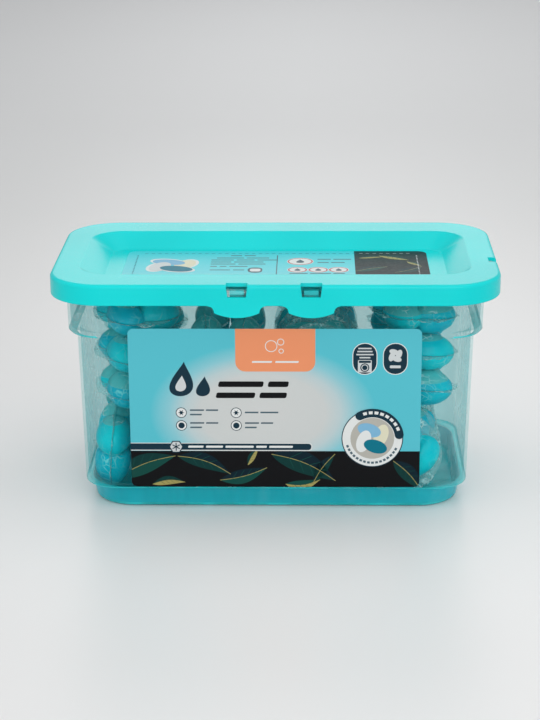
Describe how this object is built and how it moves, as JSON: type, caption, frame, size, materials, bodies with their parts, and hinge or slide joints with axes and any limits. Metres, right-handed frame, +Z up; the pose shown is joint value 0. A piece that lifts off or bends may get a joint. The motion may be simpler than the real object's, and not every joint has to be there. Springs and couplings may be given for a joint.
{
  "type": "laundry pod tub",
  "caption": "Clear rectangular plastic tub on a stepped foot, with a hinged turquoise lid, printed labels and swirled liquid laundry pods inside.",
  "frame": {"origin": "on the table under the middle of the tub", "axes": "+Z up, the front label faces -Y, +X to the right of the front"},
  "size_m": [0.19, 0.108, 0.103],
  "materials": {
    "clear_plastic": "clear, slightly frosted moulded polypropylene",
    "turquoise_plastic": "satin moulded polypropylene",
    "printed_film": "gloss printed film",
    "pod_film": "liquid in clear soluble film"
  },
  "bodies": {
    "tub": {"tub": "clear_plastic", "front_label": "printed_film", "pod_01": "pod_film", "pod_02": "pod_film", "pod_03": "pod_film", "pod_04": "pod_film", "pod_05": "pod_film", "pod_06": "pod_film", "pod_07": "pod_film", "pod_08": "pod_film", "pod_09": "pod_film", "pod_10": "pod_film", "pod_11": "pod_film", "pod_12": "pod_film", "pod_13": "pod_film", "pod_14": "pod_film", "pod_15": "pod_film", "pod_16": "pod_film", "pod_17": "pod_film", "pod_18": "pod_film", "pod_19": "pod_film", "pod_20": "pod_film", "pod_21": "pod_film", "pod_22": "pod_film", "pod_23": "pod_film", "pod_24": "pod_film", "pod_25": "pod_film", "pod_26": "pod_film", "pod_27": "pod_film", "pod_28": "pod_film", "pod_29": "pod_film", "pod_30": "pod_film", "pod_31": "pod_film", "pod_32": "pod_film", "pod_33": "pod_film", "pod_34": "pod_film", "pod_35": "pod_film", "pod_36": "pod_film", "pod_37": "pod_film", "pod_38": "pod_film", "pod_39": "pod_film", "pod_40": "pod_film"},
    "lid": {"lid": "turquoise_plastic", "top_label": "printed_film"}
  },
  "joints": [
    {"name": "lid_hinge", "type": "hinge", "parent": "tub", "child": "lid", "pos_m": [0, 0.04954, 0.0904], "axis": [-1, 0, 0], "range_deg": [0, 105]}
  ]
}
